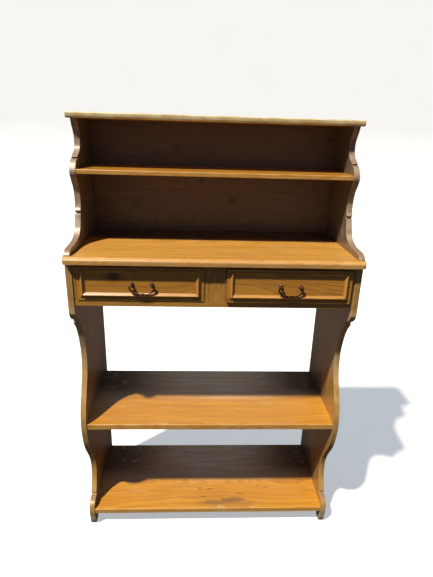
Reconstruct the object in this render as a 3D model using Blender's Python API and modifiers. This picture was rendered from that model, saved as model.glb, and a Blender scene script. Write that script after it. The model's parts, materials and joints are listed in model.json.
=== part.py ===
"""A scroll-sided pine stand: a top board and one shelf above a worktop, two inset drawers
under it, and two open shelves between scrolled lower sides that end in feet.

Metres, +Z up. X runs to the right of someone who faces the stand, and -Y points at them.
Depths are measured forward from the back plane, and y_at turns a depth into a Y.
"""

import math

import bmesh
import bpy
from mathutils import Matrix, Vector

GAP = 0.0003  # between pieces that touch

# Overall sizes
BACK_Y = 0.21205
SIDE_INNER = 0.455
SIDE_THICKNESS = 0.020
SIDE_OUTER = SIDE_INNER + SIDE_THICKNESS
HOUSING = 0.006  # how far a shelf or a rail enters a side
SCROLL_STEPS = 6  # straight runs between two points of a scroll

# Boards that lie flat: bottom, top and front edge
BOTTOM_SHELF = {"bottom": 0.0615, "top": 0.0825, "front": 0.3755}
MIDDLE_SHELF = {"bottom": 0.4695, "top": 0.4912, "front": 0.3830}
UPPER_SHELF = {"bottom": 1.3675, "top": 1.382, "front": 0.2605}
SHELF_ROUND = 0.003  # along the upper edge of its front
SHELF_STOP = 0.011  # from a shelf's front edge back to the end of its housing

WORKTOP_BOTTOM = 1.1105
WORKTOP_TOP = 1.1330
WORKTOP_HALF = 0.476
WORKTOP_FRONT = 0.4241
WORKTOP_FILLET = 0.011  # from the front back to the step above the rounded nose
WORKTOP_STEP = 0.0030
WORKTOP_BELLY = 1.1205  # where the rounded nose meets the upright lower part of the edge
WORKTOP_CORNER = 0.010  # radius of its front corners, seen from above
CORNER_STEPS = 5

TOP_BOARD_BOTTOM = 1.5372
TOP_BOARD_TOP = 1.556
TOP_BOARD_HALF = 0.4875
TOP_BOARD_FRONT = 0.215
TOP_BOARD_HOUSING = 0.005
TOP_BOARD_ROUNDS = {"top": 0.005, "bottom": 0.008}
TOP_BOARD_REBATE = 0.004  # above the back boards' upper edge
UPPER_SIDE_TOP = 0.204  # depth of the upper sides where they enter the top board

# Back boards of the upper part, in a rebate of its sides
BACK_THICKNESS = 0.0100
REBATE_WIDTH = 0.010
REBATE_BOTTOM = 1.100  # below the upper sides, so that the rebate runs out of them
BACK_SEAMS = (WORKTOP_TOP, 1.294, 1.375, TOP_BOARD_BOTTOM + TOP_BOARD_REBATE)
TONGUE_HEIGHT = 0.005
TONGUE_THICKNESS = 0.003

# Frieze that frames the drawers
FRIEZE_FRONT = 0.397
FRIEZE_THICKNESS = 0.020
FRIEZE_BACK = FRIEZE_FRONT - FRIEZE_THICKNESS
FRIEZE_BOTTOM = 0.9645
CASE_BACK_THICKNESS = 0.020
BEARER_THICKNESS = 0.015
BEARER_HOUSING = 0.005
BEARER_WIDTH = 0.055
CENTRE_BEARER_OVERHANG = 0.031  # past the centre guide at each side
GUIDE_HEIGHT = 0.020
TENON_LENGTH = 0.006
TENON_THICKNESS = 0.008

# Drawers: the outer edges of each front, and how far it stands out of its closed place
DRAWER_EDGES = {"left": (-0.4435, -0.0370), "right": (0.0350, 0.4435)}
DRAWER_OUT = {"left": 0.0, "right": 0.006}
FRONT_BOTTOM = 0.9855
FRONT_TOP = 1.0990
PLAY = 0.0014
OPENING_BOTTOM = FRONT_BOTTOM - PLAY
OPENING_TOP = FRONT_TOP + PLAY
PANEL_FRONT = 0.3993
PANEL_THICKNESS = 0.018
PANEL_BACK = PANEL_FRONT - PANEL_THICKNESS
DRAWER_REAR = 0.045
BOX_SIDE_THICKNESS = 0.010
BOX_SIDE_TOP = 1.087
BOX_BACK_TOP = 1.080
BOX_BACK = (0.050, 0.060)
BOX_BACK_HOUSING = 0.003
BOTTOM_PANEL = (0.996, 1.002)
BOTTOM_GROOVE = 0.004
TAIL_LENGTH = 0.012
TAIL_SPREAD = 0.003
TAIL_ROOTS = ((1.006, 1.030), (1.048, 1.072))

# Moulding planted on a drawer front, and the margins of the front outside it. Its face is
# three arcs from its outer edge inwards, each with a start, a corner and an end, as a distance
# from that edge and a depth.
SIDE_MARGIN = 0.0095
BOTTOM_MARGIN = 0.0105
TOP_MARGIN = 0.0020
MOULDING_WIDTH = 0.0175
MOULDING_EDGE_DEPTH = 0.4008
MOULDING_SLOPE = ((0.0010, MOULDING_EDGE_DEPTH), (0.0058, 0.4012), (0.0070, 0.4050))
MOULDING_CREST = ((0.0076, 0.4066), (0.0086, 0.4075), (0.0098, 0.4065))
MOULDING_HOLLOW = ((0.0104, 0.4058), (0.0140, 0.4022), (0.0168, 0.4006))

# Drawer handles
HANDLE_OFFSET = 0.0045  # from the middle of its drawer to the right
POST_HALF_SPACING = 0.032
BAIL_AXIS_DEPTH = 0.4085
BAIL_AXIS_Z = 1.0415
POST_BALL = 0.0043
BALL_STEPS = 5
SHANK_RADIUS = 0.0020
SHANK_SPARE = 0.003  # past the nut

# A post between its ball and its shank: radius and height above the drawer front
POST_FOOT = (
    (0.0026, 0.0052),
    (0.0032, 0.0034),
    (0.0058, 0.0022),
    (0.0072, 0.0012),
    (0.0070, 0.0),
)
POST_NECK = 0.0028  # radius where the ball meets the neck
BAIL_PIN = 0.0016
BAIL_WIRE = 0.0031
NUT_RADIUS = 0.0042
NUT_THICKNESS = 0.003

# Dowels through the worktop, from the upper side into the lower one
DOWEL_RADIUS = 0.005
DOWEL_DEPTHS = {"back": 0.080, "front": 0.220}
DOWEL_REACH = 0.025

# Front edges, from the top down, as depth and height. True marks a point that the curve
# passes smoothly, and False marks a sharp corner.
LOWER_SCROLL = (
    (0.4000, WORKTOP_BOTTOM - GAP, False),
    (0.4005, 0.9360, False),
    (0.3920, 0.9210, True),
    (0.3650, 0.9010, False),
    (0.3600, 0.9005, False),
    (0.3600, 0.8930, False),
    (0.3630, 0.8890, False),
    (0.3350, 0.8520, True),
    (0.3130, 0.7920, True),
    (0.3050, 0.7350, True),
    (0.3150, 0.6700, True),
    (0.3450, 0.6070, True),
    (0.3730, 0.5500, True),
    (0.3850, 0.4950, True),
    (0.3800, 0.4300, True),
    (0.3620, 0.3700, True),
    (0.3310, 0.3160, True),
    (0.3060, 0.2620, True),
    (0.3010, 0.2180, True),
    (0.3110, 0.1680, True),
    (0.3330, 0.1260, False),
    (0.3290, 0.1255, False),
    (0.3290, 0.1170, False),
    (0.3345, 0.1160, False),
    (0.3680, 0.1035, True),
    (0.3768, 0.0800, True),
    (0.3750, 0.0450, True),
    (0.3660, 0.0060, True),
    (0.3600, 0.0000, False),
)
FOOT_ARCH = (
    (0.3320, 0.0000, False),
    (0.3220, 0.0150, True),
    (0.2980, 0.0270, False),
    (0.2900, 0.0270, False),
    (0.2700, 0.0370, True),
    (0.2400, 0.0420, False),
    (0.1400, 0.0420, False),
    (0.1100, 0.0370, True),
    (0.0900, 0.0270, False),
    (0.0820, 0.0270, False),
    (0.0580, 0.0150, True),
    (0.0480, 0.0000, False),
    (0.0000, 0.0000, False),
)
UPPER_SCROLL = (
    (UPPER_SIDE_TOP, TOP_BOARD_BOTTOM + TOP_BOARD_HOUSING - GAP, False),
    (UPPER_SIDE_TOP, TOP_BOARD_BOTTOM, False),
    (0.1950, 1.5170, True),
    (0.1780, 1.4900, True),
    (0.1755, 1.4660, True),
    (0.1850, 1.4420, True),
    (0.2260, 1.4185, False),
    (0.2200, 1.4180, False),
    (0.2200, 1.4138, False),
    (0.2275, 1.4133, False),
    (0.2400, 1.4080, True),
    (0.2560, 1.3900, True),
    (0.2620, 1.3730, True),
    (0.2520, 1.3500, True),
    (0.2350, 1.3240, True),
    (0.2265, 1.2900, True),
    (0.2290, 1.2580, True),
    (0.2365, 1.2460, False),
    (0.2300, 1.2455, False),
    (0.2300, 1.2352, False),
    (0.2370, 1.2347, False),
    (0.2450, 1.2110, True),
    (0.2620, 1.1800, True),
    (0.2960, 1.1610, True),
    (0.3450, 1.1535, True),
    (0.3850, 1.1500, True),
    (0.4040, 1.1385, True),
    (0.4060, WORKTOP_TOP + GAP, False),
)

# Half of a bail, from the tip of its pin to the middle of its grip: out, down and thickness
BAIL_HALF = (
    (0.0285, 0.0000, BAIL_PIN),
    (0.0345, 0.0000, BAIL_PIN),
    (0.0382, -0.0012, 0.0018),
    (0.0394, -0.0060, 0.0024),
    (0.0386, -0.0120, 0.0031),
    (0.0345, -0.0188, 0.0034),
    (0.0260, -0.0258, 0.0032),
    (0.0125, -0.0292, 0.0029),
    (0.0000, -0.0298, BAIL_WIRE),
)

PINE_FACE = (0.56, 0.29, 0.09)
PINE_SHADE = (0.30, 0.15, 0.06)
PINE_RAW = (0.66, 0.44, 0.22)
ANTIQUE_BRONZE = (0.17, 0.085, 0.05)
STEEL_GREY = (0.45, 0.44, 0.42)


def clear_scene():
    for obj in list(bpy.data.objects):
        bpy.data.objects.remove(obj, do_unlink=True)


def new_collection(name):
    collection = bpy.data.collections.new(name)
    bpy.context.scene.collection.children.link(collection)
    return collection


clear_scene()
PARTS = new_collection("scroll_sided_stand")
CUTTERS = new_collection("cutters")


def y_at(depth):
    return BACK_Y - depth


def material(name, colour, roughness, metallic=0.0):
    made = bpy.data.materials.new(name)
    made.use_nodes = True
    shader = made.node_tree.nodes["Principled BSDF"]
    shader.inputs["Base Color"].default_value = (*colour, 1.0)
    shader.inputs["Roughness"].default_value = roughness
    shader.inputs["Metallic"].default_value = metallic
    made.diffuse_color = (*colour, 1.0)
    return made


def paint(obj, colour, roughness=0.45, metallic=0.0):
    obj.data.materials.clear()
    obj.data.materials.append(material(obj.name, colour, roughness, metallic))
    return obj


def link(name, mesh, location=(0, 0, 0)):
    obj = bpy.data.objects.new(name, mesh)
    obj.location = location
    PARTS.objects.link(obj)
    return obj


def as_cutter(obj):
    """Moves a shape that only cuts or joins out of the parts."""
    PARTS.objects.unlink(obj)
    CUTTERS.objects.link(obj)
    obj.hide_render = True
    obj.display_type = "WIRE"
    return obj


def box(name, x, depth, z):
    """A rectangular piece: each argument is its two ends along X, in depth or in height."""
    size = Vector((x[1] - x[0], depth[1] - depth[0], z[1] - z[0]))
    centre = Vector((sum(x) / 2, y_at(sum(depth) / 2), sum(z) / 2))
    mesh = bpy.data.meshes.new(name)
    shape = bmesh.new()
    bmesh.ops.create_cube(shape, size=1.0)
    bmesh.ops.scale(shape, vec=size, verts=shape.verts)
    shape.to_mesh(mesh)
    shape.free()
    return link(name, mesh, centre)


def rod(name, radius, length, location, axis="Z", sides=16):
    """A round rod centred on its location, along the axis."""
    mesh = bpy.data.meshes.new(name)
    shape = bmesh.new()
    bmesh.ops.create_cone(
        shape, cap_ends=True, segments=sides, radius1=radius, radius2=radius, depth=length
    )
    if axis == "X":
        bmesh.ops.rotate(shape, matrix=Matrix.Rotation(math.pi / 2, 3, "Y"), verts=shape.verts)
    if axis == "Y":
        bmesh.ops.rotate(shape, matrix=Matrix.Rotation(math.pi / 2, 3, "X"), verts=shape.verts)
    shape.to_mesh(mesh)
    shape.free()
    return link(name, mesh, location)


def curve_to_mesh(obj):
    """Replaces a curve object by the mesh that it evaluates to, with its caps welded on."""
    graph = bpy.context.evaluated_depsgraph_get()
    mesh = bpy.data.meshes.new_from_object(obj.evaluated_get(graph))
    shape = bmesh.new()
    shape.from_mesh(mesh)
    bmesh.ops.remove_doubles(shape, verts=shape.verts, dist=0.00001)
    bmesh.ops.recalc_face_normals(shape, faces=shape.faces)
    shape.to_mesh(mesh)
    shape.free()
    name = obj.name
    matrix = obj.matrix_world.copy()
    bpy.data.objects.remove(obj, do_unlink=True)
    mesh.name = name
    made = link(name, mesh)
    made.matrix_world = matrix
    return made


def extruded(name, outline, thickness, steps=1):
    """A flat outline in the XY plane, extruded to both sides of it. An outline's point holds
    two lengths and, where the curve passes it smoothly, True."""
    curve = bpy.data.curves.new(name, "CURVE")
    curve.dimensions = "2D"
    curve.fill_mode = "BOTH"
    curve.extrude = thickness / 2
    curve.resolution_u = steps
    spline = curve.splines.new("BEZIER")
    spline.bezier_points.add(len(outline) - 1)
    spline.use_cyclic_u = True
    for knot, (u, v, *smooth) in zip(spline.bezier_points, outline):
        handle = "AUTO" if any(smooth) else "VECTOR"
        knot.co = (u, v, 0)
        knot.handle_left_type = handle
        knot.handle_right_type = handle
    return link(name, curve)


def sectioned(name, outline, x, steps=1):
    """A piece of one section, an outline of depths and heights, between two ends along X."""
    obj = extruded(name, outline, x[1] - x[0], steps)
    to_section = Matrix(((0, 0, -1), (-1, 0, 0), (0, 1, 0))).to_4x4()
    obj.matrix_world = Matrix.Translation((sum(x) / 2, BACK_Y, 0)) @ to_section
    bpy.context.view_layer.update()
    return curve_to_mesh(obj)


def arc(start, corner, end, steps=4):
    """The curve that leaves start towards the corner and reaches end from it."""
    start, corner, end = Vector(start), Vector(corner), Vector(end)
    turns = (step / steps for step in range(steps + 1))
    return [tuple(start.lerp(corner, t).lerp(corner.lerp(end, t), t)) for t in turns]


def boolean(obj, tool, operation):
    modifier = obj.modifiers.new(f"{operation.lower()} {tool.name}", "BOOLEAN")
    modifier.operation = operation
    modifier.solver = "EXACT"
    modifier.object = tool


def cut(obj, *tools):
    for tool in tools:
        boolean(obj, tool, "DIFFERENCE")


def pocket(name, x, depth, z):
    """A cutter for the housing of a piece with these ends: a gap larger all round."""
    grown = [(low - GAP, high + GAP) for low, high in (x, depth, z)]
    return as_cutter(box(name, *grown))


def both_ends(x):
    """The stretches along X that lie mirrored at the left and the right."""
    low, high = x
    return {"left": (-high, -low), "right": (low, high)}


def smooth(obj):
    for face in obj.data.polygons:
        face.use_smooth = True
    return obj


# Carcass


def shelf_section(board, back):
    front, low, high = board["front"], board["bottom"], board["top"]
    return [
        (back, low),
        (back, high),
        *arc((front - SHELF_ROUND, high), (front, high), (front, high - SHELF_ROUND)),
        (front, low),
    ]


def shelf(name, board, back):
    """A shelf whose ends enter the sides, with its front corners cut off short of them."""
    reach = SIDE_INNER + HOUSING - GAP
    obj = sectioned(name, shelf_section(board, back), (-reach, reach))
    stop = board["front"] - SHELF_STOP
    for side, x in both_ends((SIDE_INNER - GAP, SIDE_OUTER)).items():
        notch = box(
            f"cut_{name}_corner_{side}",
            x,
            (stop - GAP, board["front"] + SHELF_STOP),
            (board["bottom"] - SHELF_STOP, board["top"] + SHELF_STOP),
        )
        cut(obj, as_cutter(notch))
    paint(obj, PINE_FACE)


def shelf_housing(name, board, side):
    x = both_ends((SIDE_INNER - HOUSING, SIDE_INNER + HOUSING - GAP))[side]
    depth = (-SHELF_STOP, board["front"] - SHELF_STOP)
    return pocket(f"cut_{name}_housing_{side}", x, depth, (board["bottom"], board["top"]))


def worktop():
    fillet = WORKTOP_FRONT - WORKTOP_FILLET
    step = WORKTOP_TOP - WORKTOP_STEP
    belly = (WORKTOP_FRONT, WORKTOP_BELLY)
    section = [
        (0.0, WORKTOP_BOTTOM),
        (0.0, WORKTOP_TOP),
        (fillet, WORKTOP_TOP),
        (fillet, step),
        *arc((fillet, step), (WORKTOP_FRONT, step), belly)[1:],
        (WORKTOP_FRONT, WORKTOP_BOTTOM),
    ]
    board = sectioned("worktop", section, (-WORKTOP_HALF, WORKTOP_HALF))
    for side, ends in both_ends((WORKTOP_HALF - WORKTOP_CORNER, WORKTOP_HALF)).items():
        inner, outer = ends if side == "right" else reversed(ends)
        beyond = outer + math.copysign(WORKTOP_CORNER, outer)
        start, front = WORKTOP_FRONT - WORKTOP_CORNER, WORKTOP_FRONT + WORKTOP_CORNER
        plan = [
            (beyond, y_at(start)),
            *arc(
                (outer, y_at(start)),
                (outer, y_at(WORKTOP_FRONT)),
                (inner, y_at(WORKTOP_FRONT)),
                CORNER_STEPS,
            ),
            (inner, y_at(front)),
            (beyond, y_at(front)),
        ]
        corner = extruded(f"cut_worktop_corner_{side}", plan, 4 * WORKTOP_CORNER)
        corner.location.z = (WORKTOP_BOTTOM + WORKTOP_TOP) / 2
        bpy.context.view_layer.update()
        cut(board, as_cutter(curve_to_mesh(corner)))
    return board


def top_board():
    front, low, high = TOP_BOARD_FRONT, TOP_BOARD_BOTTOM, TOP_BOARD_TOP
    nose, chin = TOP_BOARD_ROUNDS["top"], TOP_BOARD_ROUNDS["bottom"]
    section = [
        (0.0, low),
        (0.0, high),
        *arc((front - nose, high), (front, high), (front, high - nose)),
        *arc((front, low + chin), (front, low), (front - chin, low)),
    ]
    obj = sectioned("top_board", section, (-TOP_BOARD_HALF, TOP_BOARD_HALF))
    reach = SIDE_INNER + REBATE_WIDTH - GAP
    rebate = (low - HOUSING, low + TOP_BOARD_REBATE - GAP)
    cut(obj, pocket("cut_top_board_rebate", (-reach, reach), (-HOUSING, BACK_THICKNESS), rebate))
    for side, x in both_ends((SIDE_INNER, SIDE_OUTER)).items():
        height = (low - HOUSING, low + TOP_BOARD_HOUSING - GAP)
        depth = (-HOUSING, UPPER_SIDE_TOP)
        cut(obj, pocket(f"cut_top_board_housing_{side}", x, depth, height))
    paint(obj, PINE_FACE)


def back_boards():
    """Boards laid across, each with a tongue on its upper edge for the groove of the next."""
    reach = SIDE_INNER + REBATE_WIDTH - GAP
    middle = BACK_THICKNESS / 2
    tongue = (middle - TONGUE_THICKNESS / 2, middle + TONGUE_THICKNESS / 2)
    groove = (tongue[0] - GAP, tongue[1] + GAP)
    names = ("lower", "middle", "upper")
    last = len(names) - 1
    for index, name in enumerate(names):
        bottom = BACK_SEAMS[index] + GAP
        top = BACK_SEAMS[index + 1] - GAP
        section = [(BACK_THICKNESS, bottom), (BACK_THICKNESS, top)]
        if index < last:
            crest = top + TONGUE_HEIGHT
            section += [(tongue[1], top), (tongue[1], crest), (tongue[0], crest), (tongue[0], top)]
        section += [(GAP, top), (GAP, bottom)]
        if index > 0:
            floor = bottom + TONGUE_HEIGHT
            section += [(groove[0], bottom), (groove[0], floor), (groove[1], floor)]
            section += [(groove[1], bottom)]
        obj = sectioned(f"back_board_{name}", section, (-reach, reach))
        paint(obj, PINE_SHADE, 0.55)


def lower_side(side):
    outline = [*LOWER_SCROLL, *FOOT_ARCH, (0.0, WORKTOP_BOTTOM - GAP, False)]
    x = both_ends((SIDE_INNER, SIDE_OUTER))[side]
    obj = sectioned(f"lower_side_{side}", outline, x, SCROLL_STEPS)
    rail_x = both_ends((SIDE_INNER - HOUSING, SIDE_INNER + HOUSING - GAP))[side]
    frieze = (FRIEZE_BACK, FRIEZE_FRONT)
    tools = (
        shelf_housing("bottom_shelf", BOTTOM_SHELF, side),
        shelf_housing("middle_shelf", MIDDLE_SHELF, side),
        pocket(f"cut_bottom_rail_housing_{side}", rail_x, frieze, (FRIEZE_BOTTOM, OPENING_BOTTOM)),
        pocket(f"cut_top_rail_housing_{side}", rail_x, frieze, (OPENING_TOP, WORKTOP_BOTTOM)),
        pocket(
            f"cut_case_back_housing_{side}",
            rail_x,
            (-HOUSING, CASE_BACK_THICKNESS),
            (FRIEZE_BOTTOM, WORKTOP_BOTTOM),
        ),
    )
    cut(obj, *tools)
    return paint(obj, PINE_FACE)


def upper_side(side):
    top = TOP_BOARD_BOTTOM + TOP_BOARD_HOUSING - GAP
    outline = [*UPPER_SCROLL, (0.0, WORKTOP_TOP + GAP, False), (0.0, top, False)]
    x = both_ends((SIDE_INNER, SIDE_OUTER))[side]
    obj = sectioned(f"upper_side_{side}", outline, x, SCROLL_STEPS)
    rebate_x = both_ends((SIDE_INNER - HOUSING, SIDE_INNER + REBATE_WIDTH - GAP))[side]
    rebate_depth = (-HOUSING, BACK_THICKNESS)
    rebate_z = (REBATE_BOTTOM, TOP_BOARD_TOP)
    rebate = pocket(f"cut_back_rebate_{side}", rebate_x, rebate_depth, rebate_z)
    cut(obj, rebate, shelf_housing("upper_shelf", UPPER_SHELF, side))
    return paint(obj, PINE_FACE)


def side_dowels(side, lower, upper, board):
    """Dowels that pin the upper side, the worktop and the lower side together."""
    centre_x = sum(both_ends((SIDE_INNER, SIDE_OUTER))[side]) / 2
    centre_z = (WORKTOP_BOTTOM + WORKTOP_TOP) / 2
    length = WORKTOP_TOP - WORKTOP_BOTTOM + 2 * DOWEL_REACH
    for place, depth in DOWEL_DEPTHS.items():
        centre = (centre_x, y_at(depth), centre_z)
        name = f"side_dowel_{side}_{place}"
        bore = as_cutter(rod(f"cut_{name}", DOWEL_RADIUS + GAP, length + 2 * GAP, centre))
        for obj in (lower, upper, board):
            cut(obj, bore)
        paint(rod(name, DOWEL_RADIUS, length, centre), PINE_RAW, 0.6)


# Drawer case


def bearer_places():
    """Where the left, centre and right drawer bearers and guides lie along X."""
    left, right = DRAWER_EDGES["left"], DRAWER_EDGES["right"]
    wall = SIDE_INNER - GAP
    guides = {
        "left": (-wall, left[0] - PLAY),
        "centre": (left[1] + PLAY, right[0] - PLAY),
        "right": (right[1] + PLAY, wall),
    }
    low, high = guides["centre"]
    bearers = {
        "left": (-wall, -wall + BEARER_WIDTH),
        "centre": (low - CENTRE_BEARER_OVERHANG, high + CENTRE_BEARER_OVERHANG),
        "right": (wall - BEARER_WIDTH, wall),
    }
    return bearers, guides


def drawer_case():
    reach = SIDE_INNER + HOUSING - GAP
    ceiling = WORKTOP_BOTTOM - GAP
    frieze = (FRIEZE_BACK, FRIEZE_FRONT)
    bottom_rail = box("frieze_bottom_rail", (-reach, reach), frieze, (FRIEZE_BOTTOM, OPENING_BOTTOM))
    top_rail = box("frieze_top_rail", (-reach, reach), frieze, (OPENING_TOP, ceiling))
    case_back = box(
        "case_back_rail", (-reach, reach), (0.0, CASE_BACK_THICKNESS), (FRIEZE_BOTTOM, ceiling)
    )
    bearers, guides = bearer_places()
    span = (
        CASE_BACK_THICKNESS - BEARER_HOUSING + GAP,
        FRIEZE_BACK + BEARER_HOUSING - GAP,
    )
    clear = (CASE_BACK_THICKNESS + GAP, FRIEZE_BACK - GAP)
    guide_z = (OPENING_BOTTOM + GAP, OPENING_BOTTOM + GUIDE_HEIGHT)
    for place, x in bearers.items():
        runner_z = (OPENING_BOTTOM - BEARER_THICKNESS, OPENING_BOTTOM)
        kicker_z = (OPENING_TOP, ceiling)
        runner_hole = pocket(f"cut_runner_housing_{place}", x, span, runner_z)
        kicker_hole = pocket(f"cut_kicker_housing_{place}", x, span, kicker_z)
        cut(bottom_rail, runner_hole)
        cut(top_rail, kicker_hole)
        cut(case_back, runner_hole, kicker_hole)
        paint(box(f"drawer_runner_{place}", x, span, runner_z), PINE_RAW, 0.6)
        paint(box(f"drawer_kicker_{place}", x, span, kicker_z), PINE_RAW, 0.6)
        paint(box(f"drawer_guide_{place}", guides[place], clear, guide_z), PINE_RAW, 0.6)
    frieze_stiles(guides, bottom_rail, top_rail)
    paint(bottom_rail, PINE_FACE)
    paint(top_rail, PINE_FACE)
    paint(case_back, PINE_RAW, 0.6)


def frieze_stiles(places, bottom_rail, top_rail):
    """Upright pieces between the frieze rails, with a tenon at each end."""
    middle = FRIEZE_FRONT - FRIEZE_THICKNESS / 2
    tenon_depth = (middle - TENON_THICKNESS / 2, middle + TENON_THICKNESS / 2)
    tenon_z = (OPENING_BOTTOM - TENON_LENGTH, OPENING_TOP + TENON_LENGTH)
    for place, (low, high) in places.items():
        inset = (high - low) / 5
        tenon_x = (low + inset, high - inset)
        obj = box(
            f"frieze_stile_{place}",
            (low, high),
            (FRIEZE_BACK, FRIEZE_FRONT),
            (OPENING_BOTTOM + GAP, OPENING_TOP - GAP),
        )
        tenon = box(f"join_stile_tenon_{place}", tenon_x, tenon_depth, tenon_z)
        boolean(obj, as_cutter(tenon), "UNION")
        mortise = pocket(f"cut_stile_mortise_{place}", tenon_x, tenon_depth, tenon_z)
        cut(bottom_rail, mortise)
        cut(top_rail, mortise)
        paint(obj, PINE_FACE)


# Drawers


def tail_outline(root, grow=0.0):
    """One dovetail, as depths and heights. The part of it inside the side is straight."""
    low, high = root
    tip = PANEL_BACK + TAIL_LENGTH + grow
    return [
        (PANEL_BACK - BOX_SIDE_THICKNESS, low - grow),
        (PANEL_BACK, low - grow),
        (tip, low - TAIL_SPREAD - grow),
        (tip, high + TAIL_SPREAD + grow),
        (PANEL_BACK, high + grow),
        (PANEL_BACK - BOX_SIDE_THICKNESS, high + grow),
    ]


def box_side(name, x, grooves):
    obj = box(name, x, (DRAWER_REAR, PANEL_BACK - GAP), (OPENING_BOTTOM + GAP, BOX_SIDE_TOP))
    for index, root in enumerate(TAIL_ROOTS):
        tail = sectioned(f"join_{name}_tail_{index}", tail_outline(root), x)
        boolean(obj, as_cutter(tail), "UNION")
    cut(obj, *grooves)
    return paint(obj, PINE_RAW, 0.6)


def moulding_section():
    """The drawer moulding: distance from its outer edge, and depth."""
    return [
        (0.0, PANEL_FRONT + GAP),
        (0.0, MOULDING_EDGE_DEPTH),
        *arc(*MOULDING_SLOPE, steps=3),
        *arc(*MOULDING_CREST, steps=2),
        *arc(*MOULDING_HOLLOW, steps=3),
        (MOULDING_WIDTH, PANEL_FRONT + GAP),
    ]


def moulding_strip(name, length, corner, turn):
    """One mitred strip. It is made along local X with its outer edge below, then turned about
    its middle in the plane of the front. corner is the middle of its outer edge, as X and Z."""
    outline = [(depth, inward) for inward, depth in moulding_section()]
    obj = sectioned(name, outline, (-length / 2, length / 2))
    placed = obj.matrix_world.copy()
    for vertex in obj.data.vertices:
        point = placed @ vertex.co
        mitred = length / 2 - point.z - GAP
        vertex.co = (math.copysign(mitred, point.x), point.y, point.z)
    obj.matrix_world = Matrix.Translation((corner[0], 0, corner[1])) @ Matrix.Rotation(turn, 4, "Y")
    return paint(obj, PINE_FACE)


def drawer_mouldings(name, x):
    left, right = x[0] + SIDE_MARGIN, x[1] - SIDE_MARGIN
    bottom, top = FRONT_BOTTOM + BOTTOM_MARGIN, FRONT_TOP - TOP_MARGIN
    middle_x, middle_z = (left + right) / 2, (bottom + top) / 2
    moulding_strip(f"{name}_moulding_bottom", right - left, (middle_x, bottom), 0.0)
    moulding_strip(f"{name}_moulding_top", right - left, (middle_x, top), math.pi)
    moulding_strip(f"{name}_moulding_left", top - bottom, (left, middle_z), math.pi / 2)
    moulding_strip(f"{name}_moulding_right", top - bottom, (right, middle_z), -math.pi / 2)


def drawer(place, edges):
    name = f"drawer_{place}"
    low, high = edges
    inner = (low + BOX_SIDE_THICKNESS, high - BOX_SIDE_THICKNESS)
    panel = box(
        f"{name}_front",
        (low, high),
        (PANEL_BACK, PANEL_FRONT),
        (FRONT_BOTTOM, FRONT_TOP),
    )
    bottom_x = (inner[0] - BOTTOM_GROOVE + GAP, inner[1] + BOTTOM_GROOVE - GAP)
    bottom_depth = (DRAWER_REAR, PANEL_BACK + BOTTOM_GROOVE - GAP)
    groove = pocket(
        f"cut_{name}_groove", bottom_x, (DRAWER_REAR - HOUSING, bottom_depth[1]), BOTTOM_PANEL
    )
    back_x = (inner[0] - BOX_BACK_HOUSING + GAP, inner[1] + BOX_BACK_HOUSING - GAP)
    back_z = (BOTTOM_PANEL[1] + GAP, BOX_BACK_TOP)
    back_housing = pocket(f"cut_{name}_back_housing", back_x, BOX_BACK, (back_z[0], FRONT_TOP))
    cut(panel, groove)
    for index, root in enumerate(TAIL_ROOTS):
        for end, x in {"left": (low, inner[0]), "right": (inner[1], high)}.items():
            ends = (x[0] - GAP, x[1] + GAP)
            socket = sectioned(f"cut_{name}_socket_{end}_{index}", tail_outline(root, GAP), ends)
            cut(panel, as_cutter(socket))
    for end, x in {"left": (low, inner[0]), "right": (inner[1], high)}.items():
        box_side(f"{name}_side_{end}", x, (groove, back_housing))
    paint(box(f"{name}_back", back_x, BOX_BACK, back_z), PINE_RAW, 0.6)
    paint(box(f"{name}_bottom", bottom_x, bottom_depth, BOTTOM_PANEL), PINE_RAW, 0.6)
    paint(panel, PINE_FACE)
    drawer_mouldings(name, edges)
    handle(place, sum(edges) / 2 + HANDLE_OFFSET, panel)
    for obj in [*PARTS.objects, *CUTTERS.objects]:
        if name in obj.name or f"handle_{place}" in obj.name:
            obj.location.y -= DRAWER_OUT[place]


# Handles


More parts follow.
